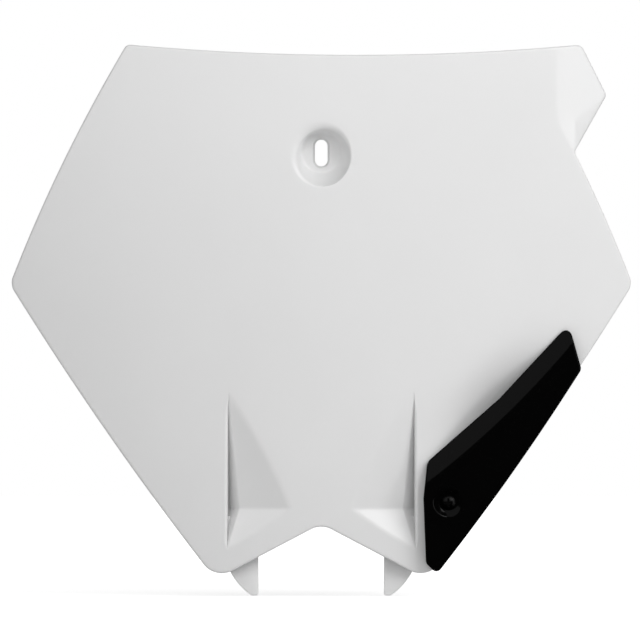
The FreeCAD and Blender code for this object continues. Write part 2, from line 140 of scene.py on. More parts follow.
# Channel, hose guard and screw, placed along the panel's lower right edge and inwards from it
CHANNEL_CENTRE = (90.0, 22.5)
CHANNEL_DEPTH = 11.5
CHANNEL_HALF_LENGTH = 55.0
CHANNEL_LEAD_IN = 28.0
CHANNEL_FULL_DEPTH_AT = 10.0
GUARD_TOP = (145.7, 15.0)
GUARD_TOP_RADIUS = 3.6
GUARD_BEND = (95.0, 22.3)
GUARD_SHOULDER = (48.5, 33.8)
GUARD_SHOULDER_RADIUS = 5.0
GUARD_WAIST = (32.3, 24.8)
GUARD_HEEL = (6.5, 5.2)
GUARD_HEEL_RADIUS = 3.0
GUARD_TOE = (5.2, -2.4)
GUARD_TOE_RADIUS = 2.7
GUARD_CORNER = (130.7, -3.2)
GUARD_CORNER_RADIUS = 3.0
GUARD_OUTER_BOW = 1.6
GUARD_RISE = 7.0
GUARD_WALL = 2.4
GUARD_BEVEL_WIDTH = 8.6
GUARD_BEVEL_RIM = 1.6
GUARD_SEAT_GAP = 0.15
GUARD_SIDE_GAP = 0.2
GUARD_SKIRT_PAST_PANEL = 0.5
GUARD_CREST = 1.0
GUARD_EDGE_ROUND = 0.8
GUARD_POST_RADIUS = 8.0
SCREW_PLACE = (37.8, 13.4)
SCREW_BOSS_RADIUS = 4.6
SCREW_BORE_RADIUS = 2.15
SCREW_BOSS_LENGTH = 9.0
SCREW_BOSS_CHAMFER = 0.5
SCREW_BORE_CHAMFER = 0.3
SCREW_DISH_RADIUS = 6.6
SCREW_DISH_DEPTH = 2.6
SCREW_DISH_RINGS = (  # (growth, drop)
    (1.6, 0.0), (0.9, 0.12), (0.4, 0.45), (0.0, 0.9), (-1.1, 1.9), (-1.7, 2.35), (-2.4, SCREW_DISH_DEPTH))

# Meshes. Each moulding starts as a flat slab cut into squares, which are finer in the windows
# round the pockets and the ear. A window is given by its low and its high corner.
SLAB_DEPTH = 10.0
BOARD_STEP = 2.5
FRONT_CUTS = 4
BACK_CUTS = 2
FINE_WINDOWS = (
    ((-52.5, -205.0), (-12.5, -112.5)),
    ((12.5, -205.0), (52.5, -112.5)),
    ((112.5, -5.0), (150.0, 60.0)),
)
WHOLE_SQUARE = 0.99
GUARD_STEP = 1.5
GUARD_BAND = 1.2
GUARD_RAMP = 0.15
GUARD_SQUARE_STEPS = 6
CORNER_STEPS = 8
DISH_STEPS = 8
ROUND_STEPS = 3
TURN_STEPS = 32
SHARP_ANGLE = 50
SCORE_MARGIN = 0.8
SLIVER = 0.02
SPECK = 0.001
LEVEL = 0.001
TOUCH = 0.0001


def across_radius(z):
    """Radius of the panel across its width, which tightens towards the bottom."""
    share = (z - LOBE[1]) / (TOP_CORNER[1] - LOBE[1])
    return ACROSS_RADIUS_BOTTOM + share * (ACROSS_RADIUS_TOP - ACROSS_RADIUS_BOTTOM)


def crown(x, z):
    """How far the undished panel lies behind its foremost point."""
    radius = across_radius(z)
    across = radius - math.sqrt(radius**2 - x**2)
    rise = z - FOREMOST_HEIGHT
    upright = UPRIGHT_RADIUS - math.sqrt(UPRIGHT_RADIUS**2 - rise**2)
    return across + upright


def smooth_step(t):
    """Rises from 0 to 1 with no crease at either end."""
    t = min(max(t, 0.0), 1.0)
    return t**3 * (10 - 15 * t + 6 * t**2)


def unit(dx, dz):
    """Unit vector in the XZ plane."""
    length = math.hypot(dx, dz)
    return dx / length, dz / length


EDGE_RUN = unit(TIP[0] - LOBE[0], TIP[1] - LOBE[1])
EDGE_LENGTH = math.hypot(TIP[0] - LOBE[0], TIP[1] - LOBE[1])


def beside_edge(along, inwards):
    """X and Z of a place given by the panel's lower right edge."""
    x = LOBE[0] + along * EDGE_RUN[0] - inwards * EDGE_RUN[1]
    z = LOBE[1] + along * EDGE_RUN[1] + inwards * EDGE_RUN[0]
    return x, z


CHANNEL_ALONG = unit(
    beside_edge(*GUARD_SHOULDER)[0] - beside_edge(*GUARD_TOP)[0],
    beside_edge(*GUARD_SHOULDER)[1] - beside_edge(*GUARD_TOP)[1],
)
CHANNEL_AT = beside_edge(*CHANNEL_CENTRE)


def channel_dip(x, z):
    """Depth of the hose channel, which runs out under the guard's outer edge."""
    dx = x - CHANNEL_AT[0]
    dz = z - CHANNEL_AT[1]
    run = (dx * CHANNEL_ALONG[0] + dz * CHANNEL_ALONG[1]) / CHANNEL_HALF_LENGTH
    reach = dz * CHANNEL_ALONG[0] - dx * CHANNEL_ALONG[1]
    if abs(run) >= 1:
        return 0.0
    across = smooth_step((reach + CHANNEL_LEAD_IN) / (CHANNEL_FULL_DEPTH_AT + CHANNEL_LEAD_IN))
    return CHANNEL_DEPTH * (1 - run**2) ** 3 * across


def front_y(x, z):
    """Y of the panel's front face, leaving the channel aside."""
    return DISH_FRONT + crown(x, z) - crown(0, 0)


def on_front(x, z):
    """Point of the panel's front face, leaving the channel aside."""
    return Vector((x, front_y(x, z), z))


def soft_max(a, b, width):
    """The higher of two values, blended over a width so that the crease between them is rounded."""
    overlap = max(width - abs(a - b), 0.0) / width
    return max(a, b) + overlap**2 * width / 4


def soft_min(a, b, width):
    """The lower of two values, blended over a width."""
    return -soft_max(-a, -b, width)


def plane_through(p, q, r):
    """Plane through three points as (point, normal), with the normal towards -Y."""
    normal = (q - p).cross(r - p).normalized()
    return p, (normal if normal.y < 0 else -normal)


def plane_y(plane, x, z, depth=0.0):
    """Y of a plane at a place, with the plane moved back by a depth along its normal."""
    point, normal = plane
    back = -depth / normal.y
    return point.y - (normal.x * (x - point.x) + normal.z * (z - point.z)) / normal.y + back


def bent_plane(p, q, normal, degrees):
    """Plane that holds the line from p to q and leans from normal by an angle about it."""
    turned = Matrix.Rotation(math.radians(degrees), 3, q - p) @ normal
    return p, turned.normalized()


def side_x(z):
    """Half width of the bowed upper side at a height."""
    share = (TOP_CORNER[1] - z) / (TOP_CORNER[1] - TIP[1])
    chord = TOP_CORNER[0] + (TIP[0] - TOP_CORNER[0]) * share
    length = math.hypot(TIP[0] - TOP_CORNER[0], TIP[1] - TOP_CORNER[1])
    bow = UPPER_SIDE_BOW * (1 - (2 * share - 1) ** 2)
    return chord + bow * length / (TOP_CORNER[1] - TIP[1])


def valley_height(first, second, x):
    """Height at which two planes meet at a given x."""
    low = SIDE_NOTCH_HEIGHT
    high = TOP_CORNER[1]
    gap_low = plane_y(first, x, low) - plane_y(second, x, low)
    gap_high = plane_y(first, x, high) - plane_y(second, x, high)
    return low + (high - low) * gap_low / (gap_low - gap_high)


def ear_planes():
    """The four flat facets of the ear, in two pairs that meet in a shallow valley."""
    top = on_front(EAR_CREASE_X, TOP_CORNER[1])
    turn = on_front(EAR_CREASE_X, EAR_CREASE_TURN_HEIGHT)
    notch = on_front(side_x(SIDE_NOTCH_HEIGHT), SIDE_NOTCH_HEIGHT)
    beside = on_front(EAR_CREASE_X - EAR_CORNER_RADIUS, EAR_CREASE_TURN_HEIGHT)
    facing = plane_through(turn, top, beside)[1]
    upper = bent_plane(turn, top, facing, EAR_FIRST_BEND)
    lower = bent_plane(notch, turn, facing, EAR_FIRST_BEND)
    fold_height = valley_height(upper, lower, EAR_FOLD_X)
    fold = Vector((EAR_FOLD_X, plane_y(upper, EAR_FOLD_X, fold_height), fold_height))
    tip = Vector((EAR_TIP[0], plane_y(upper, *EAR_TIP), EAR_TIP[1]))
    outer = bent_plane(notch, fold, lower[1], EAR_SECOND_BEND)
    under = bent_plane(fold, tip, upper[1], EAR_LOWER_BEND)
    return [(upper, lower), (outer, under)]


def pocket_planes(side):
    """The planes of one pocket: two facets of its hollow, four of its cleft, and its upright wall."""
    apex = on_front(side * POCKET_APEX[0], POCKET_APEX[1])
    foot = on_front(side * POCKET_FOOT[0], POCKET_FOOT[1])
    inner = on_front(side * POCKET_INNER[0], POCKET_INNER[1])
    ridge = on_front(side * POCKET_RIDGE[0], POCKET_RIDGE[1]) + Vector((0, POCKET_RIDGE_DEPTH, 0))
    lip_x = (POCKET_APEX[0] + POCKET_FOOT[0]) / 2
    cleft = on_front(side * (lip_x - POCKET_LIP_DRAFT), POCKET_RIDGE[1])
    cleft += Vector((0, POCKET_CLEFT_DEPTH, 0))
    hollow = [plane_through(apex, ridge, inner), plane_through(foot, ridge, inner)]
    steep = [plane_through(apex, ridge, cleft), plane_through(foot, ridge, cleft)]
    steep += [plane_through(end, cleft, end + Vector((1, 0, 0))) for end in (apex, foot)]
    return hollow, steep, plane_through(apex, foot, cleft)


def past_lip(x, z):
    """How far a place lies outside the lip line of the pocket on its side."""
    share = (POCKET_APEX[1] - z) / (POCKET_APEX[1] - POCKET_FOOT[1])
    return abs(x) - POCKET_APEX[0] - share * (POCKET_FOOT[0] - POCKET_APEX[0])


def lip_radius(z):
    """Radius of the pocket's rounded lip at a height, which fades out at both ends."""
    depth = POCKET_CLEFT_DEPTH * min((POCKET_APEX[1] - z) / (POCKET_APEX[1] - POCKET_RIDGE[1]),
                                     (z - POCKET_FOOT[1]) / (POCKET_RIDGE[1] - POCKET_FOOT[1]))
    return min(max(depth / 2, 0.0), POCKET_LIP_ROUND)


def lip_roll(x, z):
    """How far the pocket's rounded lip falls away beside its wall."""
    radius = lip_radius(z)
    reach = radius - max(past_lip(x, z), 0.0)
    return radius - math.sqrt(radius**2 - reach**2) if reach > 0 else 0.0


EAR = ear_planes()
POCKETS = {side: pocket_planes(side) for side in (-1, 1)}


def lowest(planes, x, z, depth):
    """Y of the foremost of several planes, with their creases rounded."""
    y = plane_y(planes[0], x, z, depth)
    for plane in planes[1:]:
        y = soft_min(y, plane_y(plane, x, z, depth), POCKET_VALLEY_SOFTNESS)
    return y


def panel_y(x, z, depth):
    """Y of the board's face at a depth behind its front, with ear, channel and pockets."""
    y = front_y(x, z) + channel_dip(x, z) + depth
    if z > SIDE_NOTCH_HEIGHT and x > 0:
        for first, second in EAR:
            valley = soft_min(plane_y(first, x, z, depth), plane_y(second, x, z, depth), EAR_SOFTNESS)
            y = soft_max(y, valley, EAR_SOFTNESS)
    hollow, steep, wall = POCKETS[1 if x > 0 else -1]
    if depth == 0 and past_lip(x, z) > -POCKET_LIP_SLACK:
        return y + lip_roll(x, z)
    floor = soft_max(lowest(hollow, x, z, depth), lowest(steep, x, z, depth), POCKET_RIDGE_SOFTNESS)
    return min(soft_max(y, floor, POCKET_EDGE_SOFTNESS), max(y, plane_y(wall, x, z, depth)))


def flat_face(corners, spacing):
    """Flat face in the XZ plane through corners of the form (point, radius, bow of the next edge)."""
    bm = bmesh.new()
    points = [Vector((place[0], 0, place[1])) for place, radius, bow in corners]
    verts = [bm.verts.new(point) for point in points]
    bm.faces.new(verts)
    for i, (place, radius, bow) in enumerate(corners):
        if radius:
            before = points[i - 1] - points[i]
            after = points[(i + 1) % len(points)] - points[i]
            reach = radius / math.tan(before.angle(after) / 2)
            bmesh.ops.bevel(bm, geom=[verts[i]], offset=reach, offset_type="OFFSET",
                            segments=CORNER_STEPS, profile=0.5, affect="VERTICES", clamp_overlap=False,
                            material=-1)
    for edge in bm.edges[:]:
        cuts = int(edge.calc_length() / spacing)
        if cuts:
            bmesh.ops.bisect_edges(bm, edges=[edge], cuts=cuts)
    for i, (place, radius, bow) in enumerate(corners):
        if bow:
            bow_side(bm, points[i], points[(i + 1) % len(points)], bow, radius + spacing)
    return bm


def bow_side(bm, start, end, bow, reach):
    """Moves the points beside one edge out to a shallow arc, to the right of the way it runs."""
    run = end - start
    length = run.length
    side = Vector((run.z, 0, -run.x)) / length
    for vert in bm.verts:
        share = (vert.co - start).dot(run) / length**2
        if 0 < share < 1 and abs((vert.co - start).dot(side)) < reach:
            vert.co += side * bow * 4 * share * (1 - share)


def inset_bands(bm, widths):
    """Bands of even width inside the outline, which leave one large face in the middle, marked 1."""
    middle = max(bm.faces, key=lambda face: len(face.verts))
    for width in widths:
        bmesh.ops.inset_region(bm, faces=[middle], thickness=width, use_even_offset=True, use_boundary=True)
    middle.material_index = 1


def span(face, axis):
    """Lowest and highest coordinate of a face along an axis."""
    values = [vert.co[axis] for vert in face.verts]
    return min(values), max(values)


def with_parts(faces):
    """Faces with their edges and points, each once."""
    parts = dict.fromkeys(faces)
    for face in faces:
        parts.update(dict.fromkeys(face.edges))
        parts.update(dict.fromkeys(face.verts))
    return list(parts)


def cut_grid(bm, step, origin):
    """Cuts the middle face into squares, on lines that pass through the origin."""
    for axis in (0, 2):
        live = [face for face in bm.faces if face.material_index == 1]
        low = min(span(face, axis)[0] for face in live)
        high = max(span(face, axis)[1] for face in live)
        normal = Vector((1, 0, 0)) if axis == 0 else Vector((0, 0, 1))
        first = math.ceil((low - origin[axis]) / step)
        last = math.floor((high - origin[axis]) / step)
        for i in range(first, last + 1):
            place = normal * (origin[axis] + i * step)
            live = [face for face in live if span(face, axis)[1] > place[axis]]
            cut = bmesh.ops.bisect_plane(bm, geom=with_parts(live), dist=TOUCH,
                                         plane_co=place, plane_no=normal)
            live = [item for item in cut["geom"] if isinstance(item, bmesh.types.BMFace)]
    bmesh.ops.dissolve_degenerate(bm, dist=SLIVER, edges=bm.edges[:])


def refine(bm, y, low, high, step, cuts):
    """Divides the whole squares of one flat side that lie between two corners."""
    edges = {}
    for face in bm.faces:
        centre = face.calc_center_median()
        inside = low[0] < centre.x < high[0] and low[1] < centre.z < high[1]
        whole = len(face.verts) == 4 and face.calc_area() > WHOLE_SQUARE * step**2
        if inside and whole and abs(centre.y - y) < LEVEL:
            edges.update(dict.fromkeys(face.edges))
    bmesh.ops.subdivide_edges(bm, edges=list(edges), cuts=cuts, use_grid_fill=True)


def open_square(bm, y, centre, half):
    """Takes out the squares of one flat side round a centre, and returns the loop of edges left."""
    inside = []
    for face in bm.faces:
        place = face.calc_center_median()
        near = abs(place.x - centre[0]) < half and abs(place.z - centre[1]) < half
        if near and abs(place.y - y) < LEVEL:
            inside.append(face)
    loop = [edge for edge in dict.fromkeys(e for f in inside for e in f.edges)
            if len([f for f in edge.link_faces if f in inside]) == 1]
    bmesh.ops.delete(bm, geom=inside, context="FACES")
    return [edge for edge in loop if edge.is_valid]


def verts_of(made):
    """The points among what an operator made."""
    return [item for item in made["geom"] if isinstance(item, bmesh.types.BMVert)]


def sink_ring(bm, loop, centre, place):
    """Carries a loop of edges on to where place(angle) says, and returns the new loop."""
    made = bmesh.ops.extrude_edge_only(bm, edges=loop)
    verts = verts_of(made)
    for vert in verts:
        angle = math.atan2(vert.co.z - centre[1], vert.co.x - centre[0])
        vert.co = place(angle)
    fresh = set(verts)
    return [item for item in made["geom"]
            if isinstance(item, bmesh.types.BMEdge) and item.verts[0] in fresh and item.verts[1] in fresh]


def oval_place(centre, reach, height):
    """Place on an oval round a centre, where height gives Y at an X and a Z."""
    def place(angle):
        x = centre[0] + reach[0] * math.cos(angle)
        z = centre[1] + reach[1] * math.sin(angle)
        return Vector((x, height(x, z), z))
    return place


def round_place(centre, radius, height):
    """Place on a circle round a centre."""
    return oval_place(centre, (radius, radius), height)


def slot_place(grow, y):
    """Place on the slot's outline, grown by an amount, at a given Y."""
    radius = SLOT_WIDTH / 2 + grow
    half = (SLOT_HEIGHT - SLOT_WIDTH) / 2

    def place(angle):
        across = math.cos(angle)
        up = math.sin(angle)
        if abs(up) * radius <= half * abs(across):
            reach = radius / abs(across)
        else:
            along = abs(up) * half
            reach = along + math.sqrt(along**2 - half**2 + radius**2)
        return Vector((reach * across, y, reach * up))
    return place


def board_corners():
    """The board's outline, clockwise from the top left corner as seen from the front."""
    notch = (side_x(SIDE_NOTCH_HEIGHT), SIDE_NOTCH_HEIGHT)
    share = (SIDE_NOTCH_HEIGHT - TIP[1]) / (TOP_CORNER[1] - TIP[1])
    return [
        ((-TOP_CORNER[0], TOP_CORNER[1]), TOP_CORNER_RADIUS, TOP_EDGE_DIP),
        ((EAR_CORNER_X, TOP_CORNER[1]), EAR_CORNER_RADIUS, 0),
        (EAR_TIP, EAR_TIP_RADIUS, 0),
        (notch, SIDE_NOTCH_RADIUS, -UPPER_SIDE_BOW * share**2),
        (TIP, TIP_RADIUS, -LOWER_SIDE_BOW),
        (LOBE, LOBE_RADIUS, 0),
        ((0, NOTCH_HEIGHT), NOTCH_RADIUS, 0),
        ((-LOBE[0], LOBE[1]), LOBE_RADIUS, -LOWER_SIDE_BOW),
        ((-TIP[0], TIP[1]), TIP_RADIUS, -UPPER_SIDE_BOW),
    ]


def extrude_back(bm, depth):
    """Carries a flat face back to a closed slab."""
    made = bmesh.ops.extrude_face_region(bm, geom=bm.faces[:], use_keep_orig=True)
    bmesh.ops.translate(bm, verts=verts_of(made), vec=Vector((0, depth, 0)))


def thicken(bm):
    """Carries the flat face back to a slab whose walls are marked 2."""
    extrude_back(bm, SLAB_DEPTH)
    for face in bm.faces:
        low, high = span(face, 1)
        if high - low > SLAB_DEPTH / 2:
            face.material_index = 2


def round_edges(bm, edges, radius):
    """Rounds edges to a radius."""
    bmesh.ops.bevel(bm, geom=edges, offset=radius, offset_type="OFFSET", segments=ROUND_STEPS, profile=0.5,
                    affect="EDGES", clamp_overlap=False, material=-1)


def round_rim(bm, radius):
    """Rounds the edges where the walls meet the front and back faces."""
    rim = [edge for edge in bm.edges
           if sorted(2 * (face.material_index == 2) for face in edge.link_faces) == [0, 2]]
    round_edges(bm, rim, radius)


def between(a, b, share):
    """Pair of values part of the way from one pair to another."""
    return a[0] + share * (b[0] - a[0]), a[1] + share * (b[1] - a[1])


DISH_TURN = math.pi / 2 - math.atan((DISH_MOUTH_RADIUS - DISH_FLOOR_RADIUS) / DISH_DEPTH)


def foot_rings(floor_radius):
    """Radius and rise of the rings that round the foot of the dish's wall into its floor."""
    foot = floor_radius - DISH_FLOOR_ROUND * math.tan(DISH_TURN / 2)
    rings = []
    for i in range(DISH_STEPS + 1):
        angle = DISH_TURN * (1 - i / DISH_STEPS)
        rings.append((foot + DISH_FLOOR_ROUND * math.sin(angle), DISH_FLOOR_ROUND * (1 - math.cos(angle))))
    return rings


def dish_rings():
    """Rings of the dish from the panel over its rolled lip to its floor, as (centre, reach, height)."""
    apron = (DISH_LIP_REACH[0] + DISH_APRON, DISH_LIP_REACH[1] + DISH_APRON)
    rings = [(DISH_LIP_CENTRE, apron, front_y)]
    for i in range(DISH_STEPS + 1):
        angle = DISH_TURN * i / DISH_STEPS
        share = math.sin(angle) / math.sin(DISH_TURN)
        drop = DISH_LIP_DROP * (1 - math.cos(angle)) / (1 - math.cos(DISH_TURN))
        centre = between(DISH_LIP_CENTRE, DISH_THROAT_CENTRE, share)
        reach = between(DISH_LIP_REACH, DISH_THROAT_REACH, share)
        rings.append((centre, reach, lambda x, z, d=drop: front_y(x, z) + d))
    for radius, rise in foot_rings(DISH_FLOOR_RADIUS):
        rings.append((SLOT_CENTRE, (radius, radius), lambda x, z, r=rise: -SEAT_WALL - r))
    return rings


def boss_rings():
    """Rings of the boss's back, from the panel to its seat, as (centre, reach, height)."""
    root = DISH_MOUTH_RADIUS + SEAT_WALL
    rings = []
    for grow, rise in BOSS_ROOT_RINGS:
        rings.append((DISH_LEAN, (root + grow, root + grow), lambda x, z, r=rise: front_y(x, z) + WALL + r))
    for radius, rise in foot_rings(DISH_FLOOR_RADIUS + SEAT_WALL):
        rings.append((SLOT_CENTRE, (radius, radius), lambda x, z, r=rise: -r))
    return rings


def score_pocket(bm, side):
    """Cuts the fine squares along a pocket's creases and its lip, so that they run straight."""
    apex = Vector((side * POCKET_APEX[0], 0, POCKET_APEX[1]))
    foot = Vector((side * POCKET_FOOT[0], 0, POCKET_FOOT[1]))
    inner = Vector((side * POCKET_INNER[0], 0, POCKET_INNER[1]))
    ridge = Vector((side * POCKET_RIDGE[0], 0, POCKET_RIDGE[1]))
    lip_x = (POCKET_APEX[0] + POCKET_FOOT[0]) / 2
    cleft = Vector((side * (lip_x - POCKET_LIP_DRAFT), 0, POCKET_RIDGE[1]))
    lines = [(apex, ridge), (ridge, foot), (ridge, inner), (apex, cleft), (cleft, foot), (apex, foot)]
    for share in POCKET_LIP_SCORES:
        aside = Vector((side * share * POCKET_LIP_ROUND, 0, 0))
        lines.append((apex + aside, foot + aside))
    for start, end in lines:
        score(bm, start, end)


def score(bm, start, end):
    """Cuts the front's fine flat faces along one line."""
    normal = (end - start).cross(Vector((0, 1, 0))).normalized()
    low = Vector([min(a, b) - SCORE_MARGIN for a, b in zip(start, end)])
    high = Vector([max(a, b) + SCORE_MARGIN for a, b in zip(start, end)])
    faces = []
    for face in bm.faces:
        place = face.calc_center_median()
        if abs(place.y) < SLIVER and low.x < place.x < high.x and low.z < place.z < high.z:
            faces.append(face)
    bmesh.ops.bisect_plane(bm, geom=with_parts(faces), dist=SLIVER, plane_co=start, plane_no=normal)


def sink_dish(bm, loop):
    """Carries the front's open square down the dish and into the slot."""
    for ring in dish_rings():
        loop = sink_ring(bm, loop, SLOT_CENTRE, oval_place(*ring))
    for grow, share in ((SLOT_FLAT, 0.0), (SLOT_LIP, 0.0), SLOT_LIP_WAIST, (0.0, 1.0)):
        loop = sink_ring(bm, loop, SLOT_CENTRE, slot_place(grow, share * SLOT_LIP_DEPTH - SEAT_WALL))
    return loop


def raise_boss(bm, loop):
    """Carries the back's open square up the boss and into the slot."""
    for ring in boss_rings():
        loop = sink_ring(bm, loop, SLOT_CENTRE, oval_place(*ring))
    for grow, y in ((SLOT_BACK_FLAT, 0.0), (SLOT_BACK_LIP, 0.0), (0.0, -SLOT_BACK_LIP)):
        loop = sink_ring(bm, loop, SLOT_CENTRE, slot_place(grow, y))
    return loop


def number_plate_mesh():
    """The white moulding: a curved shell with its dish, pockets, ear and channel."""
    bm = flat_face(board_corners(), BOARD_STEP)
    inset_bands(bm, [RIM_BAND])
    cut_grid(bm, BOARD_STEP, Vector((0, 0, 0)))
    thicken(bm)
    front_loop = open_square(bm, 0.0, SLOT_CENTRE, DISH_SQUARE)
    back_loop = open_square(bm, SLAB_DEPTH, SLOT_CENTRE, BOSS_SQUARE)
    for low, high in FINE_WINDOWS:
        refine(bm, 0.0, low, high, BOARD_STEP, FRONT_CUTS)
        refine(bm, SLAB_DEPTH, low, high, BOARD_STEP, BACK_CUTS)
    for side in (-1, 1):
        score_pocket(bm, side)
    for vert in bm.verts:
        depth = WALL if vert.co.y > SLAB_DEPTH / 2 else 0.0
        vert.co.y = panel_y(vert.co.x, vert.co.z, depth)
    front_loop = sink_dish(bm, front_loop)
    back_loop = raise_boss(bm, back_loop)
    bmesh.ops.bridge_loops(bm, edges=front_loop + back_loop)
    round_rim(bm, RIM_ROUND)
    for side in (-1, 1):
        add_prong(bm, side)
    add_screw_boss(bm)
    return bm


def add_solid(bm, other):
    """Adds a closed form to a mesh."""
    mesh = bpy.data.meshes.new("part")
    other.to_mesh(mesh)
    other.free()
    bm.from_mesh(mesh)
    bpy.data.meshes.remove(mesh)


def add_prong(bm, side):
    """One prong: a flat tongue with an upright inner side and a bowed outer side."""
    tip_x = PRONG_INNER_X + PRONG_TIP_WIDTH
    corners = [
        ((side * PRONG_INNER_X, PRONG_ROOT_HEIGHT), 0, 0),
        ((side * PRONG_OUTER_X, PRONG_ROOT_HEIGHT), 0, 0),
        ((side * PRONG_OUTER_X, PRONG_SHOULDER_HEIGHT), 0, -side * PRONG_SIDE_BOW),
        ((side * tip_x, PRONG_TIP_HEIGHT), PRONG_ROUND, 0),
        ((side * PRONG_INNER_X, PRONG_TIP_HEIGHT), PRONG_ROUND, 0),
    ]
    tongue = flat_face(corners, BOARD_STEP)
    start = front_y(PRONG_INNER_X, LOBE[1]) + PRONG_SETBACK
    extrude_back(tongue, PRONG_THICKNESS)
    bmesh.ops.translate(tongue, verts=tongue.verts[:], vec=Vector((0, start, 0)))
    sharp = [edge for edge in tongue.edges if abs(edge.verts[0].co.y - edge.verts[1].co.y) < LEVEL]
    round_edges(tongue, sharp, PRONG_EDGE_ROUND)
    add_solid(bm, tongue)


def add_screw_boss(bm):
    """The boss behind the panel that the guard's screw bites into, turned on the screw's axis."""
    x, z = beside_edge(*SCREW_PLACE)
    y = front_y(x, z)
    inside = SCREW_BORE_RADIUS
    outside = SCREW_BOSS_RADIUS
    end = WALL + SCREW_BOSS_LENGTH
    profile = [
        (inside, WALL / 2),
        (outside, WALL / 2),
        (outside, end - SCREW_BOSS_CHAMFER),
        (outside - SCREW_BOSS_CHAMFER, end),
        (inside + SCREW_BORE_CHAMFER, end),
        (inside, end - SCREW_BORE_CHAMFER),
    ]
    boss = bmesh.new()
    verts = [boss.verts.new((x + radius, y + back, z)) for radius, back in profile]
    edges = [boss.edges.new((verts[i - 1], verts[i])) for i in range(len(verts))]
    bmesh.ops.spin(boss, geom=verts + edges, cent=Vector((x, y, z)), axis=Vector((0, 1, 0)),
                   angle=2 * math.pi, steps=TURN_STEPS, use_merge=True)
    bmesh.ops.remove_doubles(boss, verts=boss.verts[:], dist=TOUCH)
    add_solid(bm, boss)


def guard_corners():
    """The guard's outline, from its top corner against the clock as seen from the front."""
    corners = [
        (GUARD_TOP, GUARD_TOP_RADIUS, 0),
        (GUARD_BEND, 0, 0),
        (GUARD_SHOULDER, GUARD_SHOULDER_RADIUS, 0),
        (GUARD_WAIST, 0, 0),
        (GUARD_HEEL, GUARD_HEEL_RADIUS, 0),
        (GUARD_TOE, GUARD_TOE_RADIUS, GUARD_OUTER_BOW),
        (GUARD_CORNER, GUARD_CORNER_RADIUS, 0),
    ]
    return [(beside_edge(*place), radius, bow) for place, radius, bow in corners]


def guard_bevel(start_place, end_place):
    """Plane of the bevel along one edge, from a low rim up to the guard's face."""
    start = beside_edge(*start_place)
    end = beside_edge(*end_place)
    p = on_front(*start) - Vector((0, GUARD_BEVEL_RIM, 0))
    q = on_front(*end) - Vector((0, GUARD_BEVEL_RIM, 0))
    run = unit(end[0] - start[0], end[1] - start[1])
    x = (start[0] + end[0]) / 2 - GUARD_BEVEL_WIDTH * run[1]
    z = (start[1] + end[1]) / 2 + GUARD_BEVEL_WIDTH * run[0]
    crest = on_front(x, z) - Vector((0, GUARD_RISE, 0))
    return plane_through(p, q, crest)


GUARD_BEVELS = (guard_bevel(GUARD_TOP, GUARD_BEND), guard_bevel(GUARD_BEND, GUARD_SHOULDER))


def guard_y(x, z, depth=0.0):
    """Y of the guard's face at a depth behind it."""
    bevel = soft_min(*(plane_y(plane, x, z, depth) for plane in GUARD_BEVELS), GUARD_CREST)
    return soft_max(front_y(x, z) - GUARD_RISE + depth, bevel, GUARD_CREST)


def past_board(x, z):
    """How far a place lies outside the board's lower right edge."""
    dx = x - LOBE[0]
    dz = z - LOBE[1]
    share = min(max((dx * EDGE_RUN[0] + dz * EDGE_RUN[1]) / EDGE_LENGTH, 0.0), 1.0)
    bow = LOWER_SIDE_BOW * 4 * share * (1 - share)
    return dx * EDGE_RUN[1] - dz * EDGE_RUN[0] + bow


def guard_seat_y(x, z):
    """Y of the places where the guard stands on the board."""
    return front_y(x, z) - GUARD_SEAT_GAP


def guard_foot_y(x, z):
    """Y of the guard's lower rim, which stands on the board or hooks round its edge."""
    if past_board(x, z) > GUARD_SIDE_GAP:
        return front_y(x, z) + WALL + GUARD_SKIRT_PAST_PANEL
    return guard_seat_y(x, z)


def flat_place(vert):
    """Rounded X and Z of a point, the same in front and behind."""
    return round(vert.co.x, 4), round(vert.co.z, 4)


def rim_places(bm):
    """Places of the points that lie only on the guard's outer band."""
    rim = set()
    for face in bm.faces:
        if face.material_index == 0:
            rim.update(face.verts)
    for face in bm.faces:
        if face.material_index == 1:
            rim.difference_update(face.verts)
    return {flat_place(vert) for vert in rim}


def shape_guard(bm, rim):
    """Moves the slab's points to the guard's face, its hollow back and its lower rim."""
    for vert in bm.verts:
        x, z = vert.co.x, vert.co.z
        if vert.co.y < SLAB_DEPTH / 2:
            vert.co.y = guard_y(x, z)
        elif flat_place(vert) in rim:
            vert.co.y = guard_foot_y(x, z)
        else:
            vert.co.y = guard_y(x, z, GUARD_WALL)


def screw_dish_y(face_y, drop):
    """Y of a ring of the screw's dish, which starts on the guard's face and ends level."""
    keep = 1 - drop / SCREW_DISH_DEPTH
    return lambda x, z: face_y + drop + keep * (front_y(x, z) - GUARD_RISE - face_y)


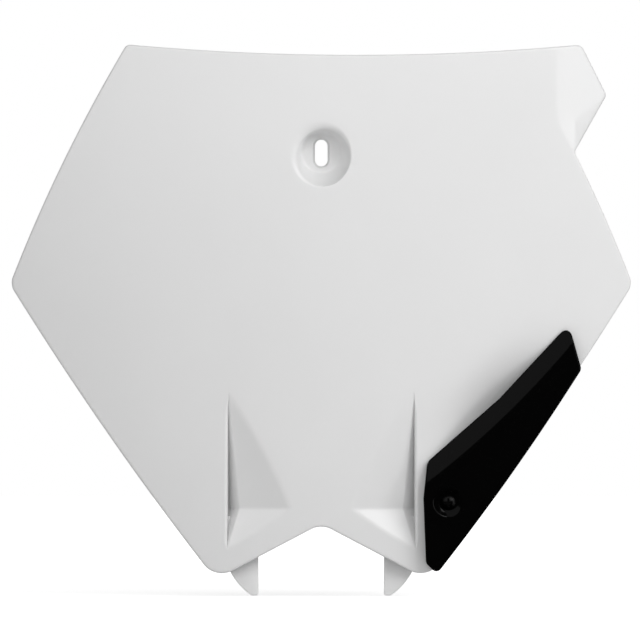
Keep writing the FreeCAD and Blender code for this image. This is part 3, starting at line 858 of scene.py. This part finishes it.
def hose_guard_mesh():
    """The black cover: a shallow shell with bevelled upper edges and a dish for its screw."""
    bm = flat_face(guard_corners(), GUARD_STEP)
    inset_bands(bm, [GUARD_BAND, GUARD_WALL - GUARD_BAND, GUARD_RAMP])
    screw = beside_edge(*SCREW_PLACE)
    cut_grid(bm, GUARD_STEP, Vector((screw[0], 0, screw[1])))
    rim = rim_places(bm)
    thicken(bm)
    half = GUARD_SQUARE_STEPS * GUARD_STEP
    front_loop = open_square(bm, 0.0, screw, half)
    back_loop = open_square(bm, SLAB_DEPTH, screw, half)
    shape_guard(bm, rim)
    face_y = front_y(*screw) - GUARD_RISE
    front_rings = [(SCREW_DISH_RADIUS + grow, screw_dish_y(face_y, drop)) for grow, drop in SCREW_DISH_RINGS]
    front_rings.append((SCREW_BORE_RADIUS, screw_dish_y(face_y, SCREW_DISH_DEPTH)))
    for radius, height in front_rings:
        front_loop = sink_ring(bm, front_loop, screw, round_place(screw, radius, height))
    for radius in (GUARD_POST_RADIUS, SCREW_BORE_RADIUS):
        back_loop = sink_ring(bm, back_loop, screw, round_place(screw, radius, guard_seat_y))
    bmesh.ops.bridge_loops(bm, edges=front_loop + back_loop)
    round_rim(bm, GUARD_EDGE_ROUND)
    bmesh.ops.dissolve_degenerate(bm, dist=SPECK, edges=bm.edges[:])
    return bm


def finished(name, bm, material):
    """Object in metres from a mesh in millimetres, with outward faces and smooth shading."""
    for face in bm.faces:
        face.material_index = 0
        face.smooth = True
    bmesh.ops.recalc_face_normals(bm, faces=bm.faces[:])
    bmesh.ops.scale(bm, verts=bm.verts[:], vec=Vector((MM, MM, MM)))
    mesh = bpy.data.meshes.new(name)
    bm.to_mesh(mesh)
    bm.free()
    mesh.materials.append(material)
    mesh.set_sharp_from_angle(angle=math.radians(SHARP_ANGLE))
    piece = bpy.data.objects.new(name, mesh)
    bpy.context.scene.collection.objects.link(piece)
    return piece


def linear(code):
    """Linear colour from an sRGB hex value."""
    channels = [int(code[i:i + 2], 16) / 255 for i in (1, 3, 5)]
    values = [c / 12.92 if c <= 0.04045 else ((c + 0.055) / 1.055) ** 2.4 for c in channels]
    return (*values, 1.0)


def add_node(tree, kind, links=None, **settings):
    """Adds a node; a setting named after an input is set there, and links join inputs to outputs."""
    node = tree.nodes.new(kind)
    for key, value in settings.items():
        if hasattr(node, key):
            setattr(node, key, value)
        else:
            node.inputs[key.replace("_", " ")].default_value = value
    for key, output in (links or {}).items():
        tree.links.new(output, node.inputs[key])
    return node


def new_material(name):
    """Empty node material, with its tree and the socket that takes its surface."""
    material = bpy.data.materials.new(name)
    material.use_nodes = True
    tree = material.node_tree
    tree.nodes.clear()
    return material, tree, tree.nodes.new("ShaderNodeOutputMaterial").inputs["Surface"]


# Sockets of the mix node for colours, which share their names with its other sockets
MIX_FIRST = 6
MIX_SECOND = 7
MIX_RESULT = 2

# Grain of the two plastics. The real one is finer, and this coarse it still shows in the render.
GRAIN_SIZE = 0.9

# Polypropylene, injection-moulded in a polished tool: an opaque white with a soft gloss and a fine grain
# that only softens its highlights. Its colour is painted a touch darker in soft patches about 60 mm across,
# as painted shade for the faint waviness of a large thin moulding.
WHITE = linear("#EAEAEA")
WHITE_WAVE_SHADE = linear("#E6E6E6")
WHITE_ROUGHNESS = (0.26, 0.36)
WAVE_SHADE_SIZE = 60.0


def white_polypropylene():
    material, tree, surface = new_material("moulded_white_polypropylene")
    place = add_node(tree, "ShaderNodeTexCoord")
    wave_shade = add_node(tree, "ShaderNodeTexNoise", {"Vector": place.outputs["Object"]},
                    Scale=1 / (WAVE_SHADE_SIZE * MM), Detail=2.0, Roughness=0.5)
    grain = add_node(tree, "ShaderNodeTexNoise", {"Vector": place.outputs["Object"]},
                     Scale=1 / (GRAIN_SIZE * MM), Detail=3.0, Roughness=0.6)
    # The colour mixes in darker patches of painted shade, standing in for the shading of the moulding's
    # waviness.
    colour = add_node(tree, "ShaderNodeMix", {"Factor": wave_shade.outputs["Fac"]}, data_type="RGBA")
    colour.inputs[MIX_FIRST].default_value = WHITE
    colour.inputs[MIX_SECOND].default_value = WHITE_WAVE_SHADE
    rough = add_node(tree, "ShaderNodeMapRange", {"Value": grain.outputs["Fac"]},
                     To_Min=WHITE_ROUGHNESS[0], To_Max=WHITE_ROUGHNESS[1])
    bump = add_node(tree, "ShaderNodeBump", {"Height": grain.outputs["Fac"]},
                    Strength=0.05, Distance=0.05 * MM)
    shader = add_node(tree, "ShaderNodeBsdfPrincipled", {
        "Base Color": colour.outputs[MIX_RESULT],
        "Roughness": rough.outputs["Result"],
        "Normal": bump.outputs["Normal"],
    }, IOR=1.49)
    tree.links.new(shader.outputs["BSDF"], surface)
    return material


# Gloss black plastic, injection-moulded and polished: deep black that shows the lamps sharply.
BLACK = linear("#030303")
BLACK_WORN = linear("#060606")
BLACK_ROUGHNESS = (0.09, 0.15)
WAVE_SIZE = 14.0


def black_gloss_plastic():
    material, tree, surface = new_material("polished_black_plastic")
    place = add_node(tree, "ShaderNodeTexCoord")
    wave = add_node(tree, "ShaderNodeTexNoise", {"Vector": place.outputs["Object"]},
                    Scale=1 / (WAVE_SIZE * MM), Detail=1.0, Roughness=0.4)
    grain = add_node(tree, "ShaderNodeTexNoise", {"Vector": place.outputs["Object"]},
                     Scale=1 / (GRAIN_SIZE * MM), Detail=3.0, Roughness=0.6)
    colour = add_node(tree, "ShaderNodeMix", {"Factor": grain.outputs["Fac"]}, data_type="RGBA")
    colour.inputs[MIX_FIRST].default_value = BLACK
    colour.inputs[MIX_SECOND].default_value = BLACK_WORN
    rough = add_node(tree, "ShaderNodeMapRange", {"Value": grain.outputs["Fac"]},
                     To_Min=BLACK_ROUGHNESS[0], To_Max=BLACK_ROUGHNESS[1])
    bump = add_node(tree, "ShaderNodeBump", {"Height": wave.outputs["Fac"]},
                    Strength=0.2, Distance=0.2 * MM)
    shader = add_node(tree, "ShaderNodeBsdfPrincipled", {
        "Base Color": colour.outputs[MIX_RESULT],
        "Roughness": rough.outputs["Result"],
        "Normal": bump.outputs["Normal"],
    }, IOR=1.5, Specular_IOR_Level=0.07)
    tree.links.new(shader.outputs["BSDF"], surface)
    return material


# Steel screw, chemically blackened: a dark satin oxide over metal. Its grain is drawn coarser than
# the real one, so that it shows in the render.
OXIDE = linear("#161616")
OXIDE_WORN = linear("#242424")
OXIDE_ROUGHNESS = (0.3, 0.45)
OXIDE_GRAIN_SIZE = 0.3


def blackened_steel():
    material, tree, surface = new_material("blackened_steel")
    place = add_node(tree, "ShaderNodeTexCoord")
    grain = add_node(tree, "ShaderNodeTexNoise", {"Vector": place.outputs["Object"]},
                     Scale=1 / (OXIDE_GRAIN_SIZE * MM), Detail=3.0, Roughness=0.6)
    colour = add_node(tree, "ShaderNodeMix", {"Factor": grain.outputs["Fac"]}, data_type="RGBA")
    colour.inputs[MIX_FIRST].default_value = OXIDE
    colour.inputs[MIX_SECOND].default_value = OXIDE_WORN
    rough = add_node(tree, "ShaderNodeMapRange", {"Value": grain.outputs["Fac"]},
                     To_Min=OXIDE_ROUGHNESS[0], To_Max=OXIDE_ROUGHNESS[1])
    shader = add_node(tree, "ShaderNodeBsdfPrincipled", {
        "Base Color": colour.outputs[MIX_RESULT],
        "Roughness": rough.outputs["Result"],
    }, Metallic=1.0)
    tree.links.new(shader.outputs["BSDF"], surface)
    return material


white = white_polypropylene()
black = black_gloss_plastic()
steel = blackened_steel()

plate = finished("moulded_board", number_plate_mesh(), white)
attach(plate, "root")
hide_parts("number_plate")

guard = finished("hose_cover", hose_guard_mesh(), black)
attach(guard, "root")
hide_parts("hose_guard")

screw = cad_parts["guard_screw"]
screw.data.materials.clear()
screw.data.materials.append(steel)


# Stage: a plain white floor and backdrop that show as pure white and keep the object's shadow. What
# the floor adds for the camera grows with the distance in metres from the object.
FLOOR_HEIGHT = -0.2225
FLOOR_SIZE = 6.8
FLOOR_COLOUR = linear("#F2F2F2")
SHADOW_REACH = (0.35, 1.1)
SHOWN_WHITE = (0.68, 1.0)


def stage_white():
    material, tree, surface = new_material("studio_white")
    rays = add_node(tree, "ShaderNodeLightPath")
    direct = {0: rays.outputs["Is Camera Ray"], 1: rays.outputs["Is Transmission Ray"]}
    seen = add_node(tree, "ShaderNodeMath", direct, operation="MAXIMUM")
    place = add_node(tree, "ShaderNodeTexCoord")
    reach = add_node(tree, "ShaderNodeVectorMath", {"Vector": place.outputs["Object"]}, operation="LENGTH")
    shown = add_node(tree, "ShaderNodeMapRange", {"Value": reach.outputs["Value"]},
                     From_Min=SHADOW_REACH[0], From_Max=SHADOW_REACH[1],
                     To_Min=SHOWN_WHITE[0], To_Max=SHOWN_WHITE[1])
    level = add_node(tree, "ShaderNodeMath", {0: seen.outputs["Value"], 1: shown.outputs["Result"]},
                     operation="MULTIPLY")
    diffuse = add_node(tree, "ShaderNodeBsdfDiffuse", Color=FLOOR_COLOUR)
    glow = add_node(tree, "ShaderNodeEmission", {"Strength": level.outputs["Value"]})
    both = add_node(tree, "ShaderNodeAddShader", {0: diffuse.outputs["BSDF"], 1: glow.outputs["Emission"]})
    tree.links.new(both.outputs["Shader"], surface)
    return material


bpy.ops.mesh.primitive_plane_add(size=FLOOR_SIZE, location=(0, 0, FLOOR_HEIGHT))
floor = bpy.context.object
floor.name = "floor"
floor.visible_glossy = False
floor.data.materials.append(stage_white())

# White surround for what the camera sees, and a soft even light for the object
WORLD_LIGHT = 0.22
world = bpy.data.worlds.new("studio")
bpy.context.scene.world = world
world.use_nodes = True
world.cycles_visibility.glossy = False
tree = world.node_tree
tree.nodes.clear()
rays = add_node(tree, "ShaderNodeLightPath")
even = add_node(tree, "ShaderNodeBackground", Color=(1, 1, 1, 1), Strength=WORLD_LIGHT)
shown = add_node(tree, "ShaderNodeBackground", Color=(1, 1, 1, 1), Strength=1.0)
pick = add_node(tree, "ShaderNodeMixShader", {
    0: rays.outputs["Is Camera Ray"],
    1: even.outputs["Background"],
    2: shown.outputs["Background"],
})
add_node(tree, "ShaderNodeOutputWorld", {"Surface": pick.outputs["Shader"]})

# Three soft lamps, on a sphere round the board
LAMP_DISTANCE = 2.0
LAMP_AIM = Vector((0.0, 0.0, -0.08))


def lamp(name, around, above, width, height, power):
    """Area lamp aimed at the board from degrees to its right and above, unseen by the camera."""
    data = bpy.data.lights.new(name, "AREA")
    data.shape = "RECTANGLE"
    data.size = width
    data.size_y = height
    data.energy = power
    lamp_object = bpy.data.objects.new(name, data)
    bpy.context.scene.collection.objects.link(lamp_object)
    turn = Matrix.Rotation(math.radians(around), 3, "Z") @ Matrix.Rotation(math.radians(-above), 3, "X")
    towards = turn @ Vector((0, -1, 0))
    lamp_object.location = LAMP_AIM + LAMP_DISTANCE * towards
    lamp_object.rotation_mode = "QUATERNION"
    lamp_object.rotation_quaternion = (-towards).to_track_quat("-Z", "Y")
    lamp_object.visible_camera = False


lamp("key", around=40, above=32, width=0.8, height=0.8, power=12.0)
lamp("side_strip", around=62, above=8, width=0.5, height=2.4, power=12.0)
lamp("fill", around=-18, above=36, width=2.2, height=2.2, power=16.5)

# Camera straight in front and far away, framing about 320 mm in each direction
CAMERA_DISTANCE = 6.0
VIEW_SIZE = 0.3205
VIEW_CENTRE = (-0.0006, -0.0836)
SENSOR_WIDTH = 36.0
camera_data = bpy.data.cameras.new("camera")
camera_data.sensor_width = SENSOR_WIDTH
camera_data.lens = SENSOR_WIDTH * CAMERA_DISTANCE / VIEW_SIZE
camera_data.clip_start = 0.1
camera_data.clip_end = 100.0
camera = bpy.data.objects.new("camera", camera_data)
bpy.context.scene.collection.objects.link(camera)
camera.location = (VIEW_CENTRE[0], -CAMERA_DISTANCE, VIEW_CENTRE[1])
camera.rotation_euler = (math.radians(90), 0, 0)
bpy.context.scene.camera = camera

bpy.context.scene.view_settings.view_transform = "Standard"
